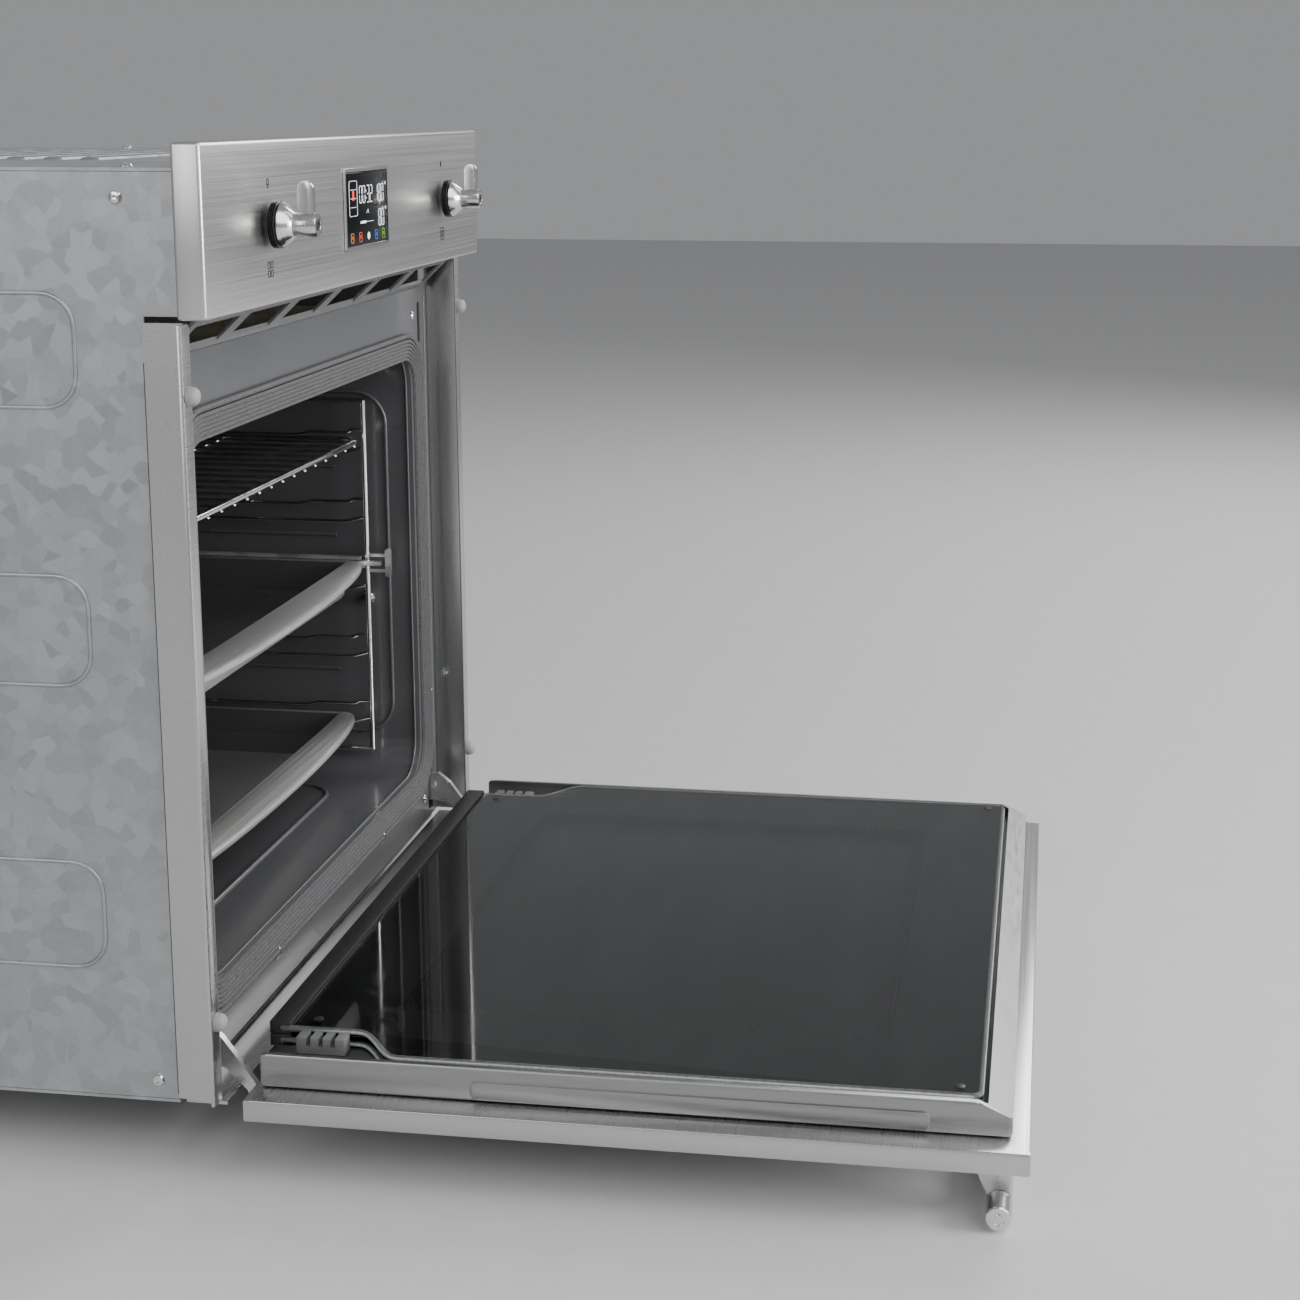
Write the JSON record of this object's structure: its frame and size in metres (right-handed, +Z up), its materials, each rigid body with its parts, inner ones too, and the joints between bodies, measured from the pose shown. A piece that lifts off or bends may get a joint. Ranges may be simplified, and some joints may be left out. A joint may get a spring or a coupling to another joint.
{
  "type": "wall oven",
  "caption": "Built-in oven with a drop-down glazed door, lift-out panes, lever knobs, a display and sliding trays.",
  "frame": {"origin": "on the underside of the base plate, 270 mm behind the front plane, where the oven stands in its niche", "axes": "+X across to the right seen from the front, +Y into the cabinet, +Z up"},
  "size_m": [0.597, 1.027, 0.6318],
  "materials": {
    "brushed_steel": "brushed, satin",
    "chrome_wire": "bright plated",
    "enamel": "vitreous enamel, semi gloss",
    "galvanised": "galvanised sheet",
    "black_plastic": "moulded",
    "heater_sheath": "oxidised tube",
    "rubber": "matt",
    "display": "polished black glass",
    "lamp_glass": "clear lens",
    "tinted_glass": "grey float glass with a printed dot border",
    "grey_plastic": "moulded",
    "mineral_wool": "soft fibre"
  },
  "bodies": {
    "root": {"control_panel": "brushed_steel", "left_side_trim": "brushed_steel", "right_side_trim": "brushed_steel", "bottom_trim": "brushed_steel", "left_rack_frame": "chrome_wire", "right_rack_frame": "chrome_wire", "display_bezel": "chrome_wire", "face_frame": "enamel", "vent_grille": "enamel", "cavity_liner": "enamel", "fan_cover": "enamel", "base_plate": "galvanised", "left_side_panel": "galvanised", "right_side_panel": "galvanised", "back_panel": "galvanised", "top_cover": "galvanised", "convection_motor": "galvanised", "blower_housing": "galvanised", "blower_motor": "galvanised", "left_guide_rail": "galvanised", "right_guide_rail": "galvanised", "left_hinge_arm": "galvanised", "right_hinge_arm": "galvanised", "terminal_box": "black_plastic", "control_board": "black_plastic", "ring_element": "heater_sheath", "grill_element": "heater_sheath", "bottom_element": "heater_sheath", "door_gasket": "rubber", "display_glass": "display", "lamp_cover": "lamp_glass", "insulation_wrap": "mineral_wool"},
    "door": {"door_skin": "brushed_steel", "outer_glass": "tinted_glass", "inner_door_frame": "enamel", "left_hinge_side_clip": "grey_plastic", "right_hinge_side_clip": "grey_plastic", "left_free_side_clip": "grey_plastic", "right_free_side_clip": "grey_plastic", "handle_bar": "brushed_steel", "left_handle_post": "brushed_steel", "right_handle_post": "brushed_steel"},
    "middle_pane": {"middle_glass": "tinted_glass", "middle_glass_strip": "black_plastic"},
    "inner_pane": {"inner_glass": "tinted_glass", "inner_glass_strip": "black_plastic"},
    "left_spindle": {"left_knob_spindle": "brushed_steel"},
    "left_knob": {"left_knob": "brushed_steel", "left_knob_ring": "rubber"},
    "right_spindle": {"right_knob_spindle": "brushed_steel"},
    "right_knob": {"right_knob": "brushed_steel", "right_knob_ring": "rubber"},
    "wire_shelf": {"wire_shelf": "chrome_wire"},
    "deep_tray": {"deep_tray": "brushed_steel", "left_guide_slide": "brushed_steel", "right_guide_slide": "brushed_steel"},
    "baking_tray": {"baking_tray": "brushed_steel"},
    "convection_fan": {"convection_fan": "galvanised"},
    "blower_rotor": {"blower_rotor": "galvanised"},
    "door_lock": {"door_lock_hook": "galvanised"}
  },
  "joints": [
    {"name": "door_hinge", "type": "hinge", "parent": "root", "child": "door", "pos_m": [0, -0.266, 0.004], "axis": [-1, 0, 0], "range_deg": [0, 90]},
    {"name": "inner_glass_lift", "type": "hinge", "parent": "door", "child": "inner_pane", "pos_m": [0, -0.89343, -0.08452], "axis": [-1, 0, 0], "range_deg": [-33.8, 0]},
    {"name": "middle_glass_lift", "type": "hinge", "parent": "door", "child": "middle_pane", "pos_m": [0, -0.75788, 0.05599], "axis": [-1, 0, 0], "range_deg": [-20, 0]},
    {"name": "wire_shelf_slide", "type": "slide", "parent": "root", "child": "wire_shelf", "axis": [0, 1, 0], "range_m": [-0.23, 0]},
    {"name": "deep_tray_slide", "type": "slide", "parent": "root", "child": "deep_tray", "axis": [0, 1, 0], "range_m": [-0.3, 0]},
    {"name": "baking_tray_slide", "type": "slide", "parent": "root", "child": "baking_tray", "axis": [0, 1, 0], "range_m": [-0.29, 0]},
    {"name": "left_knob_turn", "type": "hinge", "parent": "root", "child": "left_spindle", "pos_m": [-0.192, -0.27, 0.54], "axis": [0, -1, 0], "continuous": true},
    {"name": "left_knob_press", "type": "slide", "parent": "left_spindle", "child": "left_knob", "axis": [0, 1, 0], "range_m": [0, 0.003], "stiffness_N_per_m": 600},
    {"name": "right_knob_turn", "type": "hinge", "parent": "root", "child": "right_spindle", "pos_m": [0.192, -0.27, 0.54], "axis": [0, -1, 0], "continuous": true},
    {"name": "right_knob_press", "type": "slide", "parent": "right_spindle", "child": "right_knob", "axis": [0, 1, 0], "range_m": [0, 0.003], "stiffness_N_per_m": 600},
    {"name": "convection_fan_spin", "type": "hinge", "parent": "root", "child": "convection_fan", "pos_m": [0, 0.167, 0.235], "axis": [0, -1, 0], "continuous": true},
    {"name": "blower_spin", "type": "hinge", "parent": "root", "child": "blower_rotor", "pos_m": [0, 0.08, 0.51], "axis": [1, 0, 0], "continuous": true},
    {"name": "door_lock_swing", "type": "hinge", "parent": "root", "child": "door_lock", "pos_m": [0.2605, -0.2, 0.444], "axis": [-1, 0, 0], "range_deg": [0, 25]}
  ],
  "couplings": [
    {"joint": "middle_glass_lift", "follows": "inner_glass_lift", "ratio": 0.5917}
  ]
}
